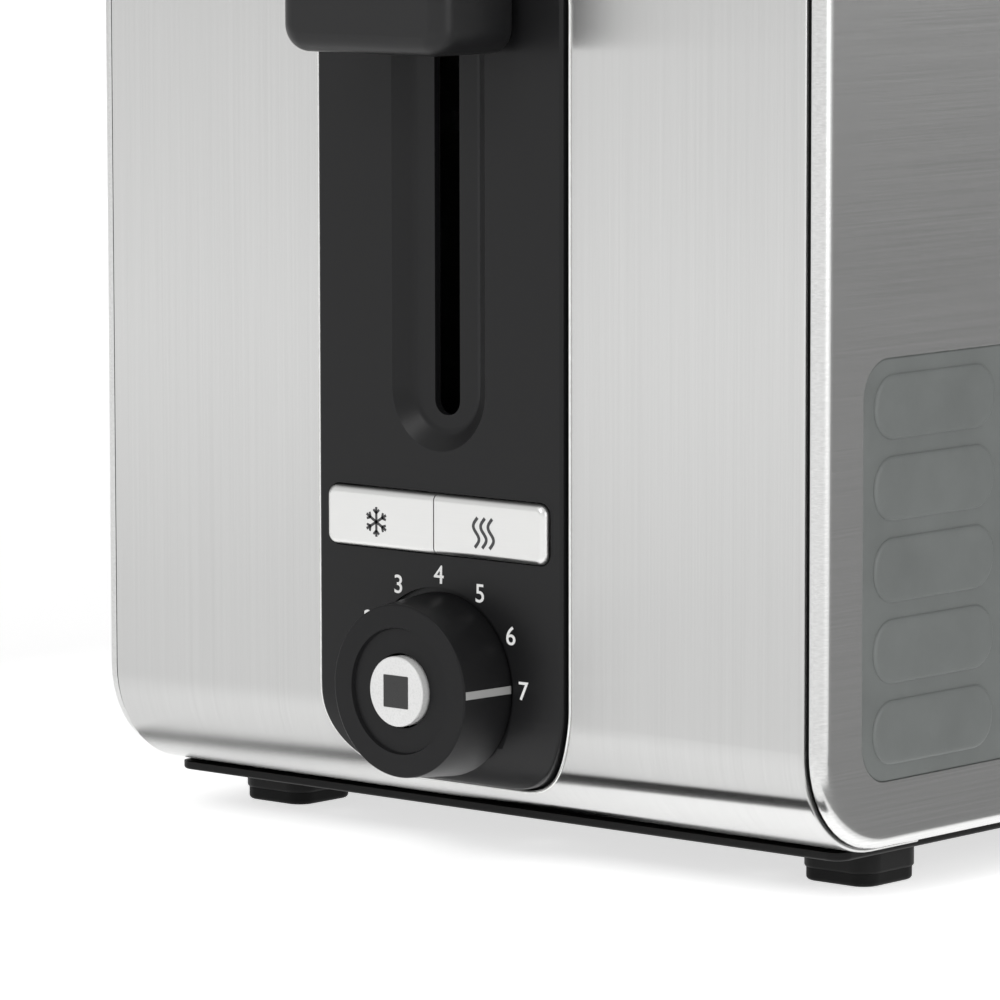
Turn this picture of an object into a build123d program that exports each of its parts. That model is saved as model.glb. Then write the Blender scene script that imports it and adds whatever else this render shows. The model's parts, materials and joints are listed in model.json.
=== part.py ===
from build123d import *
import os
from math import atan2, degrees

# A pop-up toaster in millimetres. X runs across it, -Y is the control end and +Y the end with the
# cord and the crumb tray. Lengths are measured from the middle of the casing and heights from the
# casing's underside. The last step moves every piece so that the feet stand on z = 0 and the box
# round the whole toaster is centred on the origin.

# Casing
CASE_LENGTH = 284.0
CASE_HEIGHT = 200.0
CASE_WIDTH = 193.6
CORNER_R = 22.0
SHEET = 1.0
BAND_HALF = 92.8            # half the width of the bent sheet over front, top and back
BAND_EDGE_R = 0.5
JOINT_GAP = 0.8             # dark joint between the bent sheet and a side shell
SHELL_SET_BACK = 0.9        # the side shells' outline lies this far inside the bent sheet's
SHELL_RIM_R = 2.85
FRAME_INSET = 1.5
FRAME_LIP = 3.0
SEAM_Y = 115.0              # seams across the top
SEAM_GAP = 0.3
FLANGE_Y = 105.0            # inner edge of the flanges under the casing

# Grip mats on the sides
MAT_LOW = 14.3
MAT_HIGH = 98.0
MAT_END = 13.4              # from the casing's end to the mat
MAT_R = 8.0
MAT_BACK = 1.2              # depth of the mat's pocket
MAT_SINK = 0.2
PAD_HEIGHT = 12.9
PAD_PITCH = 16.05
PAD_RISE = 0.6
PAD_COLUMNS = 6
PAD_ROWS = 5
PAD_GAP = 3.4
PAD_R = 6.2

# Bread slots and chamber
SLOT_X = 31.0
SLOT_WIDTH = 34.0
SLOT_LENGTH = 148.0
SLOT_Y = 12.0
SLOT_R = 7.0
LIP_DEPTH = 9.0
CHASSIS_FRONT_Y = -72.0
CHASSIS_REAR_Y = 96.0
CHASSIS_SHEET = 1.0
CHASSIS_HALF = 88.0
CHASSIS_TOP = 187.0
REFLECTOR_X = 67.0
REFLECTOR_SHEET = 0.6
CHAMBER_LOW = 42.0
CHAMBER_HIGH = 184.0

# Heaters
MICA_X = 58.0
MICA_THICK = 1.0
MICA_LOW = 44.0
MICA_HIGH = 160.0
MICA_TAB = 9.0
RIBBON_THICK = 0.3
RIBBON_WIDTH = 1.8
RIBBON_PITCH = 8.0

# Carriage
TRAVEL = 77.0
LEVER_Z = 163.5
LEVER_SIZE = (44.0, 21.5, 16.0)
LEVER_GAP = 2.0
ARM_HALF_WIDTH = 2.5
ARM_HALF_HEIGHT = 3.5
RACK_Z = 122.0
RACK_HALF = 9.0
RACK_SHEET = 1.2
RACK_HOLES = 8
RACK_HOLE_PITCH = 16.0
PLATE_Y = -93.0
PLATE_THICK = 2.0
ROD_X = 24.0
ROD_Y = -98.0
ROD_R = 2.5
ROD_CLEARANCE = 0.06
BUSH_R = 5.5
BUSH_LOW = 150.0
BUSH_HIGH = 170.0
BRACKET_LOW_Z = 27.0
MAGNET_TOP = 60.5
SPRING_R = 4.6
SPRING_WIRE = 0.9
SPRING_TURNS = 18
WIRE_R = 0.9
GUIDE_OPEN = 17.5           # from the slot's centre to an open guide
GUIDE_SHIFT = 5.5           # how far a guide closes on the bread
GUIDE_RAILS = (62.0, 168.0)
GUIDE_WIRES = 9

# Control panel
PANEL_HALF = 32.7
PANEL_GAP = 0.6             # dark gap between the panel and the sheet round it
PANEL_LOW = 6.3
PANEL_HIGH = 183.0
PANEL_R = 18.0
PANEL_PROUD = 1.5
PANEL_INSIDE = 3.0
PANEL_FLANGE = 3.0
PANEL_EDGE_R = 0.7
FRONT_Y = -CASE_LENGTH / 2
PANEL_Y = FRONT_Y - PANEL_PROUD
PANEL_BACK_Y = FRONT_Y + PANEL_INSIDE
LEVER_SLOT = (6.7, 81.7, 169.0)
BOWL_WIDTH = 25.0
BOWL_FLOOR_WIDTH = 17.6
BOWL_DEPTH = 2.8
BOWL_FLOOR_R = 2.5
BOWL_LOW = 74.5
BOWL_HIGH = 177.3

# Buttons
BUTTON_WIDTH = 29.3
BUTTON_LOW = 53.7
BUTTON_HIGH = 65.9
BUTTON_PROUD = 1.6
BUTTON_CORNER_R = 2.2
BUTTON_EDGE_R = 1.4
BUTTON_GAP = 0.25
BUTTON_PLAY = 0.3
BUTTON_TRAVEL = 1.5
SWITCH_GAP = 0.2

# Knob
KNOB_Z = 27.0
KNOB_BASE_R = 18.8
KNOB_FACE_R = 17.6
KNOB_HEIGHT = 13.0
KNOB_EDGE_R = 0.4
KNOB_GAP = 0.3
RECESS_DEPTH = 1.0          # the round recess that the knob stands in
RECESS_R = 19.9
SEAT_R = 16.8
DISH_R = 12.9
DISH_DEPTH = 0.8
CAP_R = 7.15
CAP_BORE_R = 7.65
CAP_PROUD = 0.9
CAP_HEIGHT = 5.0
HUB_HEIGHT = 5.8
SLEEVE_R = 4.0
SLEEVE_BORE_R = 2.9
PLUNGER_R = 2.3
POINTER_WIDTH = 1.6
POINTER_ANGLE = 2.0         # above level, at rest on the last number
LENS_SIZE = 6.6
KNOB_Y = PANEL_Y + RECESS_DEPTH - KNOB_GAP
KNOB_FACE_Y = KNOB_Y - KNOB_HEIGHT
CAP_Y = KNOB_FACE_Y - CAP_PROUD

# Control board
BOARD_Y = -128.8
BOARD_THICK = 1.6
BOARD_HALF = 33.0
BOARD_LOW = 15.0
BOARD_HIGH = 77.0
POST_X = 29.0
POST_LEVELS = (20.0, 73.0)
POST_R = 3.0
SCREW_R = 1.5
SCREW_HEAD_R = 2.8
SCREW_HEAD = 1.4
SWITCH_Y = BOARD_Y - 4.5
STOP_SWITCH_Y = BOARD_Y - 3.2

# Base and feet
BASE_HALF_WIDTH = 90.0
BASE_HALF_LENGTH = 126.5
BASE_THICK = 1.7
BASE_R = 3.5
FOOT_X = 76.4
FOOT_Y = 103.0
FOOT_SIZE = 17.4
FOOT_CORNER_R = 4.0
FOOT_STEP = 0.4             # the boss over a foot is this much larger all round
FOOT_BOSS = 5.2
FOOT_HEIGHT = 2.6
CASE_UNDERSIDE = BASE_THICK + FOOT_BOSS + FOOT_HEIGHT

# Crumb tray and cord gland
TRAY_HALF = 66.0
TRAY_FRONT_Y = -66.0
TRAY_LOW = 28.0
TRAY_DEPTH = 9.0
TRAY_SHEET = 0.8
TRAY_PLATE = (78.0, 25.6, 40.4)
TRAY_PLATE_THICK = 2.2
TRAY_GRIP = (30.0, 5.5, 4.0)
RIB_X = 55.0
GLAND_X = 60.0
GLAND_Z = 60.0
GLAND_BORE_R = 3.5
GLAND_BODY_R = 6.5
GLAND_FLANGE_R = 9.0

# The lever's knob sticks out furthest at the front and the tray's grip at the back.
FRONTMOST = PANEL_Y - LEVER_GAP - LEVER_SIZE[1]
REARMOST = CASE_LENGTH / 2 + SEAM_GAP + TRAY_PLATE_THICK + TRAY_GRIP[1]
TO_FLOOR = Pos(0, -(FRONTMOST + REARMOST) / 2, CASE_UNDERSIDE)

os.makedirs("parts", exist_ok=True)


# ---- helpers -------------------------------------------------------------------------------------

def block(x, y, z):
    """A box between (low, high) pairs."""
    middle = Pos((x[0] + x[1]) / 2, (y[0] + y[1]) / 2, (z[0] + z[1]) / 2)
    return middle * Box(x[1] - x[0], y[1] - y[0], z[1] - z[0])


def along_x(outline, x_low, x_high):
    """A side-view outline (y, z) as a prism between two x planes."""
    return extrude(Plane.YZ.offset(x_low) * outline, x_high - x_low)


def along_y(outline, y_front, y_back):
    """A front-view outline (x, z) as a prism between two y planes."""
    return extrude(Plane.XZ.offset(-y_back) * outline, y_back - y_front)


def along_z(outline, z_low, z_high):
    """A plan outline (x, y) as a prism between two z planes."""
    return extrude(Plane.XY.offset(z_low) * outline, z_high - z_low)


def window(half_width, low, high, radius):
    """A rounded rectangle between two heights, centred across."""
    return Pos(0, (low + high) / 2) * RectangleRounded(2 * half_width, high - low, radius)


def case_block(grow, x_low, x_high):
    """The casing's side outline, grown by so much all round, between two x planes."""
    outline = RectangleRounded(CASE_LENGTH + 2 * grow, CASE_HEIGHT + 2 * grow, CORNER_R + grow)
    return along_x(Pos(0, CASE_HEIGHT / 2) * outline, x_low, x_high)


def edges_at_x(shape, x):
    """The edges of a shape that lie in the plane at this x."""
    return shape.edges().filter_by_position(Axis.X, x - 0.01, x + 0.01)


def edges_at_y(shape, y):
    """The edges of a shape that lie in the plane at this y."""
    return shape.edges().filter_by_position(Axis.Y, y - 0.01, y + 0.01)


def edges_at_z(shape, z):
    """The edges of a shape that lie in the plane at this height."""
    return shape.edges().filter_by_position(Axis.Z, z - 0.01, z + 0.01)


def left_of(shape):
    """The same shape on the other side of the toaster."""
    return mirror(shape, Plane.YZ)


def save(name, shape):
    """Write one piece, moved to stand on the floor."""
    moved = TO_FLOOR * shape
    solids = moved.solids()
    piece = solids[0] if len(solids) == 1 else Compound(children=list(solids))
    export_step(piece, f"parts/{name}.step")


# ---- casing --------------------------------------------------------------------------------------

def bent_sheet():
    """The sheet over the front, top and back, before it is cut into three covers."""
    outside = case_block(0, -BAND_HALF, BAND_HALF)
    for side in (-BAND_HALF, BAND_HALF):
        outside = fillet(edges_at_x(outside, side), BAND_EDGE_R)
    return outside - case_block(-SHEET, -BAND_HALF - 1, BAND_HALF + 1)


def end_cover(sheet, end):
    """One end of the sheet with its corners and the flange under it; end is -1 front, 1 rear."""
    wide = (-BAND_HALF - 1, BAND_HALF + 1)
    beyond = CASE_LENGTH / 2 + 1
    upper = sorted((end * SEAM_Y, end * beyond))
    lower = sorted((end * FLANGE_Y, end * beyond))
    keep = block(wide, upper, (-1, CASE_HEIGHT + 1)) + block(wide, lower, (-1, CORNER_R / 2))
    return sheet & keep


def front_cover(sheet):
    """The control end, with the opening for the control panel."""
    opening = panel_outline(PANEL_GAP)
    cover = end_cover(sheet, -1) - along_y(opening, FRONT_Y - 1, FRONT_Y + 2 * CORNER_R)
    return cover - base_screw_holes()


def panel_outline(grow):
    """The control panel's front outline, grown by so much."""
    return window(PANEL_HALF + grow, PANEL_LOW - grow, PANEL_HIGH + grow, PANEL_R + grow)


def rear_cover(sheet):
    """The cord end, with openings for the crumb tray and the cord gland."""
    rear = CASE_LENGTH / 2
    tray = window(TRAY_HALF + 1.0, TRAY_LOW - 0.8, TRAY_LOW + TRAY_DEPTH + 0.8, 1.5)
    gland = Pos(GLAND_X, GLAND_Z) * Circle(GLAND_BODY_R)
    cover = end_cover(sheet, 1)
    for opening in (tray, gland):
        cover -= along_y(opening, rear - 2 * SHEET, rear + 1)
    return cover - base_screw_holes()


def top_cover(sheet):
    """The flat top with the two bread slots and the lips turned down round them."""
    reach = SEAM_Y - SEAM_GAP
    wide = (-BAND_HALF - 1, BAND_HALF + 1)
    cover = sheet & block(wide, (-reach, reach), (CASE_HEIGHT / 2, CASE_HEIGHT + 1))
    lip = RectangleRounded(SLOT_WIDTH + 2 * SHEET, SLOT_LENGTH + 2 * SHEET, SLOT_R + SHEET)
    mouth = RectangleRounded(SLOT_WIDTH, SLOT_LENGTH, SLOT_R)
    for side in (-1, 1):
        centre = Pos(side * SLOT_X, SLOT_Y)
        cover += along_z(centre * lip, CASE_HEIGHT - LIP_DEPTH, CASE_HEIGHT - SHEET / 2)
        cover -= along_z(centre * mouth, CASE_HEIGHT - LIP_DEPTH - 1, CASE_HEIGHT + 1)
    rims = ShapeList(
        edge
        for edge in edges_at_z(cover, CASE_HEIGHT)
        if abs(edge.center().Y - SLOT_Y) < SLOT_LENGTH / 2 + 1 and abs(edge.center().X) < BAND_HALF - 5
    )
    return fillet(rims, 0.9 * SHEET)


def side_shell():
    """The right side shell: a shallow pressed dish with a rounded rim and a pocket for the mat."""
    low = BAND_HALF + JOINT_GAP
    high = CASE_WIDTH / 2
    outside = case_block(-SHELL_SET_BACK, low, high)
    outside = fillet(edges_at_x(outside, high), SHELL_RIM_R)
    inside = case_block(-SHELL_SET_BACK - SHEET, low - 1, high - SHEET)
    inside = fillet(edges_at_x(inside, high - SHEET), SHELL_RIM_R - SHEET)
    behind = along_x(mat_outline(SHEET), high - MAT_BACK - SHEET, high)
    pocket = along_x(mat_outline(0), high - MAT_BACK, high + 1)
    return outside - (inside - behind) - pocket


def mat_outline(grow):
    """The grip mat's side outline, grown by so much."""
    length = CASE_LENGTH - 2 * MAT_END + 2 * grow
    height = MAT_HIGH - MAT_LOW + 2 * grow
    return Pos(0, (MAT_LOW + MAT_HIGH) / 2) * RectangleRounded(length, height, MAT_R + grow)


def grip_mat():
    """The right rubber mat with its rows of raised pads."""
    high = CASE_WIDTH / 2
    face = high - MAT_SINK
    mat = along_x(mat_outline(-0.15), high - MAT_BACK, face)
    length = CASE_LENGTH - 2 * MAT_END - 2 * PAD_GAP
    pad_length = (length - (PAD_COLUMNS - 1) * PAD_GAP) / PAD_COLUMNS
    first_y = (pad_length - length) / 2
    first_z = (MAT_LOW + MAT_HIGH) / 2 - PAD_PITCH * (PAD_ROWS - 1) / 2
    pad = along_x(RectangleRounded(pad_length, PAD_HEIGHT, PAD_R), face - 0.2, face + PAD_RISE)
    pads = [
        Pos(0, first_y + column * (pad_length + PAD_GAP), first_z + row * PAD_PITCH) * pad
        for column in range(PAD_COLUMNS)
        for row in range(PAD_ROWS)
    ]
    return mat + pads


def side_frame():
    """The black frame behind the right side shell, which shows as a dark joint."""
    inner = BAND_HALF
    web = case_block(-FRAME_INSET, inner, inner + JOINT_GAP)
    lip = case_block(-SHEET, inner - FRAME_LIP, inner)
    lip -= case_block(-2.5 * SHEET, inner - FRAME_LIP - 1, inner + 1)
    return web + lip


# ---- base ----------------------------------------------------------------------------------------

def foot_places():
    """The feet by name, as (x, y)."""
    return {
        "front_left": (-FOOT_X, -FOOT_Y),
        "front_right": (FOOT_X, -FOOT_Y),
        "rear_left": (-FOOT_X, FOOT_Y),
        "rear_right": (FOOT_X, FOOT_Y),
    }


def base_screw_places():
    """The screws that hold the base to the casing's flanges, as (x, y)."""
    return [(x, y) for x in (-58.0, 0.0, 58.0) for y in (-111.0, 111.0)]


def base_screw_holes():
    """The shafts of the base screws, to cut their holes."""
    return [
        along_z(Pos(x, y) * Circle(SCREW_R), -BASE_THICK - 1, SHEET + 1) for x, y in base_screw_places()
    ]


def base_screws():
    """Six pan-head screws with a cross recess, heads down under the base."""
    screws = []
    for x, y in base_screw_places():
        shaft = along_z(Circle(SCREW_R), -BASE_THICK, SHEET + 3)
        head = along_z(Circle(SCREW_HEAD_R), -BASE_THICK - SCREW_HEAD, -BASE_THICK)
        head = fillet(edges_at_z(head, -BASE_THICK - SCREW_HEAD), 0.6)
        cross = Rectangle(3.0, 0.7) + Rectangle(0.7, 3.0)
        recess = along_z(cross, -BASE_THICK - SCREW_HEAD - 1, -BASE_THICK - 0.6)
        screws.append(Pos(x, y, 0) * (shaft + head - recess))
    return Compound(children=screws)


def base_plate():
    """The plastic base with bosses over the feet, cooling louvres and two ribs for the tray."""
    outline = RectangleRounded(2 * BASE_HALF_WIDTH, 2 * BASE_HALF_LENGTH, BASE_R)
    plate = along_z(outline, -BASE_THICK, 0)
    plate = fillet(edges_at_z(plate, -BASE_THICK), 0.6)
    for x, y in foot_places().values():
        boss = along_z(Pos(x, y) * foot_outline(FOOT_STEP), -BASE_THICK - FOOT_BOSS, -BASE_THICK)
        plate += fillet(edges_at_z(boss, -BASE_THICK - FOOT_BOSS), 0.6)
    for side in (-1, 1):
        rib_x = sorted((side * RIB_X, side * (RIB_X + 3)))
        plate += block(rib_x, (CHASSIS_FRONT_Y + CHASSIS_SHEET + 3, FLANGE_Y - 2), (0, TRAY_LOW - 0.3))
    for column in (-1, 0, 1):
        for row in range(-4, 5):
            louvre = Pos(column * 36, row * 11) * SlotOverall(26, 4)
            plate -= along_z(louvre, -BASE_THICK - 1, 1)
    return plate - base_screw_holes()


def foot_outline(grow):
    """A foot's rounded square at the origin, grown by so much."""
    return RectangleRounded(FOOT_SIZE + 2 * grow, FOOT_SIZE + 2 * grow, FOOT_CORNER_R + grow)


def foot():
    """A rubber foot at the origin, standing under its boss."""
    top = -BASE_THICK - FOOT_BOSS
    body = along_z(foot_outline(0), top - FOOT_HEIGHT, top)
    body = fillet(edges_at_z(body, top - FOOT_HEIGHT), 0.8)
    dimple = along_z(Circle(3.0), top - FOOT_HEIGHT - 1, top - FOOT_HEIGHT + 1.2)
    return body - dimple


# ---- chassis and heaters -------------------------------------------------------------------------

def guide_holes():
    """The slots in the chassis plates that carry the guides' rails, as a front-view outline."""
    reach = WIRE_R + 0.35
    holes = []
    for slot_side in (-1, 1):
        for guide_side in (-1, 1):
            middle = slot_side * SLOT_X + guide_side * (GUIDE_OPEN - GUIDE_SHIFT / 2)
            width = GUIDE_SHIFT + 2 * reach
            for level in GUIDE_RAILS:
                holes.append(Pos(middle, level) * Rectangle(width, 2 * reach))
    return holes


def chassis_front_plate():
    """The steel plate between the works and the bread chamber, slotted for the rack arms."""
    y = (CHASSIS_FRONT_Y, CHASSIS_FRONT_Y + CHASSIS_SHEET)
    plate = block((-CHASSIS_HALF, CHASSIS_HALF), y, (0, CHASSIS_TOP))
    for side in (-1, 1):
        slot = Pos(side * SLOT_X, (RACK_Z - TRAVEL + RACK_Z) / 2 + 3) * Rectangle(6, TRAVEL + 14)
        plate -= along_y(slot, y[0] - 1, y[1] + 1)
    for hole in guide_holes():
        plate -= along_y(hole, y[0] - 1, y[1] + 1)
    return plate


def chassis_rear_plate():
    """The steel plate behind the bread chamber, open at the bottom for the crumb tray."""
    y = (CHASSIS_REAR_Y, CHASSIS_REAR_Y + CHASSIS_SHEET)
    plate = block((-CHASSIS_HALF, CHASSIS_HALF), y, (0, CHASSIS_TOP))
    plate -= block((-TRAY_HALF - 6, TRAY_HALF + 6), (y[0] - 1, y[1] + 1), (-1, CHAMBER_LOW - 1))
    for hole in guide_holes():
        plate -= along_y(hole, y[0] - 1, y[1] + 1)
    return plate


def reflector():
    """The right-hand bright sheet that throws the heat back, with a flange along its top."""
    y = (CHASSIS_FRONT_Y + CHASSIS_SHEET, CHASSIS_REAR_Y)
    sheet = block((REFLECTOR_X, REFLECTOR_X + REFLECTOR_SHEET), y, (CHAMBER_LOW, CHAMBER_HIGH))
    flange_z = (CHAMBER_HIGH - REFLECTOR_SHEET, CHAMBER_HIGH)
    sheet += block((REFLECTOR_X, REFLECTOR_X + 9), y, flange_z)
    for level in (75, 110, 145):
        rib = Pos(REFLECTOR_X + REFLECTOR_SHEET, (y[0] + y[1]) / 2, level) * Rot(90, 0, 0)
        sheet += rib * Cylinder(1.2, y[1] - y[0] - 30)
    return sheet - block((REFLECTOR_X - 3, REFLECTOR_X), y, (CHAMBER_LOW, CHAMBER_HIGH))


def mica_board(x):
    """A heater's mica board, with tabs that fit between the chassis plates."""
    front = CHASSIS_FRONT_Y + CHASSIS_SHEET
    half = MICA_THICK / 2
    board = block((x - half, x + half), (front + 6, CHASSIS_REAR_Y - 6), (MICA_LOW, MICA_HIGH))
    for low in (MICA_LOW, MICA_HIGH - MICA_TAB):
        board += block((x - half, x + half), (front, CHASSIS_REAR_Y), (low, low + MICA_TAB))
    return board


def heater_ribbons(x):
    """The resistance ribbon: level turns round a mica board, joined by a strip at the front."""
    half = MICA_THICK / 2
    front = CHASSIS_FRONT_Y + CHASSIS_SHEET + 6
    rear = CHASSIS_REAR_Y - 6
    low = MICA_LOW + MICA_TAB + 2
    high = MICA_HIGH - MICA_TAB - 2
    board = block((x - half, x + half), (front, rear), (MICA_LOW, MICA_HIGH))
    reach = half + RIBBON_THICK
    strip_y = (front - 2 * RIBBON_THICK, front - RIBBON_THICK)
    ribbon = block((x - reach, x + reach), strip_y, (low, high))
    level = low
    while level < high:
        turn_y = (front - RIBBON_THICK, rear + RIBBON_THICK)
        turn = block((x - reach, x + reach), turn_y, (level, min(level + RIBBON_WIDTH, high)))
        ribbon += turn - board
        level += RIBBON_PITCH
    return ribbon


def guide_rod():
    """A round steel rod for the carriage, at the origin."""
    return along_z(Circle(ROD_R), BRACKET_LOW_Z, CHASSIS_TOP - 1)


def rod_bracket(low, front):
    """A shelf on the front chassis plate that holds the two rods; its underside is at low."""
    shelf = block((-36, 36), (front, CHASSIS_FRONT_Y), (low, low + 2))
    for side in (-1, 1):
        shelf -= along_z(Pos(side * ROD_X, ROD_Y) * Circle(ROD_R), low - 1, low + 3)
    return shelf


def magnet_core():
    """The iron core of the holding magnet, three legs up from a yoke."""
    y = (-120, -108)
    low = BRACKET_LOW_Z + 2
    core = block((-16, 16), y, (low, low + 6))
    for x in ((-16, -12), (-4, 4), (12, 16)):
        core += block(x, y, (low, MAGNET_TOP))
    return core


def magnet_coil():
    """The wound coil round the core's middle leg, with a collar at each end."""
    low = BRACKET_LOW_Z + 8.5
    high = MAGNET_TOP - 3
    coil = block((-10.5, 10.5), (-123, -105), (low + 1.2, high - 1.2))
    for z in ((low, low + 1.2), (high - 1.2, high)):
        coil += block((-11.5, 11.5), (-124, -104), z)
    return coil - block((-4, 4), (-120, -108), (low - 1, high + 1))


def terminal_block():
    """The block that takes the mains wires, on the back of the rear chassis plate."""
    y = CHASSIS_REAR_Y + CHASSIS_SHEET
    body = block((46, 74), (y, y + 12), (74, 86))
    for x in (51, 60, 69):
        body += along_z(Pos(x, y + 6) * Circle(4.0), 86, 90)
        body -= along_z(Pos(x, y + 6) * Circle(2.2), 82, 91)
        body -= along_y(Pos(x, 78) * Circle(1.8), y + 3, y + 13)
    return body


# ---- carriage ------------------------------------------------------------------------------------

def lever_arm():
    """The flat bar from the lever's knob through the panel's slot to the carriage."""
    x = (-ARM_HALF_WIDTH, ARM_HALF_WIDTH)
    front = PANEL_Y - LEVER_GAP - LEVER_SIZE[1] + 7
    return block(x, (front, PLATE_Y), (LEVER_Z - ARM_HALF_HEIGHT, LEVER_Z + ARM_HALF_HEIGHT))


def lever_knob():
    """The broad knob that is pushed down, hollowed for the arm."""
    width, depth, height = LEVER_SIZE
    back = PANEL_Y - LEVER_GAP
    outline = Pos(0, LEVER_Z) * RectangleRounded(width, height, 5.5)
    knob = along_y(outline, back - depth, back)
    knob = fillet(edges_at_y(knob, back - depth), 4.0)
    knob = fillet(edges_at_y(knob, back), 1.0)
    return knob - lever_arm()


def carriage_bracket():
    """The plate that slides on the two rods, with a shelf for the armature."""
    plate_y = (PLATE_Y, PLATE_Y + PLATE_THICK)
    plate = block((-36, 36), plate_y, (RACK_Z - 6, BUSH_HIGH))
    plate = fillet(plate.edges().filter_by(Axis.Y), 3)
    for side in (-1, 1):
        centre = Pos(side * ROD_X, ROD_Y)
        plate += along_z(centre * Circle(BUSH_R), BUSH_LOW, BUSH_HIGH)
        plate += block((side * ROD_X - 3, side * ROD_X + 3), (ROD_Y + 3, PLATE_Y), (BUSH_LOW, BUSH_HIGH))
        plate -= along_z(centre * Circle(ROD_R + ROD_CLEARANCE), BUSH_LOW - 1, BUSH_HIGH + 1)
    shelf_z = (MAGNET_TOP + TRAVEL + 4.2, MAGNET_TOP + TRAVEL + 6.2)
    plate += block((-14, 14), (-120, PLATE_Y), shelf_z)
    return plate


def armature_plate():
    """The iron plate that the magnet holds while the bread toasts."""
    low = MAGNET_TOP + TRAVEL + 0.2
    return block((-16, 16), (-121, -107), (low, low + 4))


def bread_rack():
    """The right rack: a punched shelf with turned-down sides, and the arm that carries it."""
    y = (-60, 84)
    rack = block((-RACK_HALF, RACK_HALF), y, (RACK_Z - RACK_SHEET, RACK_Z))
    for step in range(1, RACK_HOLES + 1):
        hole = Pos(0, y[0] + step * RACK_HOLE_PITCH) * SlotOverall(12, 7)
        rack -= along_z(hole, RACK_Z - RACK_SHEET - 1, RACK_Z + 1)
    for side in (-1, 1):
        edge = side * RACK_HALF
        x = sorted((edge, edge - side * RACK_SHEET))
        rack += block(x, (y[0] + 4, y[1] - 4), (RACK_Z - 5, RACK_Z))
    arm = block((-1.5, 1.5), (PLATE_Y + PLATE_THICK, y[0] + 4), (RACK_Z - RACK_SHEET, RACK_Z + 8))
    return Pos(SLOT_X, 0, 0) * (rack + arm)


def carriage_spring():
    """A pressed spring round a guide rod, at the origin, that lifts the carriage."""
    low = BRACKET_LOW_Z + 2 + SPRING_WIRE
    high = BUSH_LOW - SPRING_WIRE
    pitch = (high - low) / SPRING_TURNS
    path = Pos(0, 0, low) * Helix(pitch, high - low, SPRING_R - SPRING_WIRE)
    start = Plane(origin=path @ 0, z_dir=path % 0)
    return sweep(start * Circle(SPRING_WIRE / 2), path, is_frenet=True)


def bread_guide():
    """One wire grille at the origin: two rails that run through the chassis, and upright wires."""
    rails_y = (CHASSIS_FRONT_Y - 4, CHASSIS_REAR_Y + 5)
    grille = [
        Pos(0, 0, level) * along_y(Circle(WIRE_R), rails_y[0], rails_y[1]) for level in GUIDE_RAILS
    ]
    first = SLOT_Y - SLOT_LENGTH / 2 + 8
    last = SLOT_Y + SLOT_LENGTH / 2 - 8
    for step in range(GUIDE_WIRES):
        y = first + (last - first) * step / (GUIDE_WIRES - 1)
        grille.append(along_z(Pos(0, y) * Circle(WIRE_R), GUIDE_RAILS[0] - 12, GUIDE_RAILS[1] + 12))
    return grille[0].fuse(*grille[1:])


# ---- control panel and what is in it -------------------------------------------------------------

def panel_posts():
    """Where the board's screws go, as (x, z)."""
    return [(x, z) for x in (-POST_X, POST_X) for z in POST_LEVELS]


def button_opening():
    """The opening that both push buttons share."""
    half = BUTTON_WIDTH + BUTTON_GAP / 2 + BUTTON_PLAY
    return window(half, BUTTON_LOW - BUTTON_PLAY, BUTTON_HIGH + BUTTON_PLAY, 2.6)


def control_panel():
    """The plastic panel that follows the casing's corners, with its slot, dish and openings."""
    outer = case_block(PANEL_PROUD, -PANEL_HALF - 5, PANEL_HALF + 5)
    inner = case_block(-PANEL_INSIDE, -PANEL_HALF - 6, PANEL_HALF + 6)
    sheet_back = case_block(-SHEET, -PANEL_HALF - 5, PANEL_HALF + 5)
    reach = (PANEL_Y - 1, FRONT_Y + 2 * CORNER_R)
    front = outer & along_y(panel_outline(0), *reach)
    front_edges = [
        edge for edge in front.edges() if edge.center().Y < FRONT_Y + 8 and edge.geom_type != GeomType.LINE
        or edge.center().Y < PANEL_Y + 0.01
    ]
    front = fillet(ShapeList(front_edges), PANEL_EDGE_R)
    panel = (front + (sheet_back & along_y(panel_outline(PANEL_FLANGE), *reach))) - inner
    panel -= along_y(Pos(0, KNOB_Z) * Circle(RECESS_R), PANEL_Y - 1, PANEL_Y + RECESS_DEPTH)
    panel += along_y(Pos(0, KNOB_Z) * Circle(SEAT_R), PANEL_Y + RECESS_DEPTH, PANEL_BACK_Y)
    panel -= along_y(Pos(0, KNOB_Z) * Circle(SLEEVE_R + 0.4), PANEL_Y - 1, PANEL_BACK_Y + 1)
    panel -= along_y(button_opening(), PANEL_Y - 1, PANEL_BACK_Y + 1)
    panel -= lever_bowl()
    width, low, high = LEVER_SLOT
    panel -= along_y(window(width / 2, low, high, width / 2 - 0.3), PANEL_Y - 1, PANEL_BACK_Y + 1)
    for x, z in panel_posts():
        post = Pos(x, z) * Circle(POST_R)
        panel += along_y(post, PANEL_BACK_Y - 0.2, BOARD_Y)
        panel -= along_y(Pos(x, z) * Circle(SCREW_R), BOARD_Y - 6, BOARD_Y + 1)
    return panel


def lever_bowl():
    """The long dish round the lever's slot, wider at the panel's face than at its floor."""
    mouth = Pos(0, (BOWL_LOW + BOWL_HIGH) / 2) * SlotOverall(BOWL_HIGH - BOWL_LOW, BOWL_WIDTH, rotation=90)
    slope = degrees(atan2((BOWL_WIDTH - BOWL_FLOOR_WIDTH) / 2, BOWL_DEPTH))
    bowl = extrude(Plane.XZ.offset(-PANEL_Y) * mouth, -BOWL_DEPTH, taper=slope)
    return fillet(edges_at_y(bowl, PANEL_Y + BOWL_DEPTH), BOWL_FLOOR_R)


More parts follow.
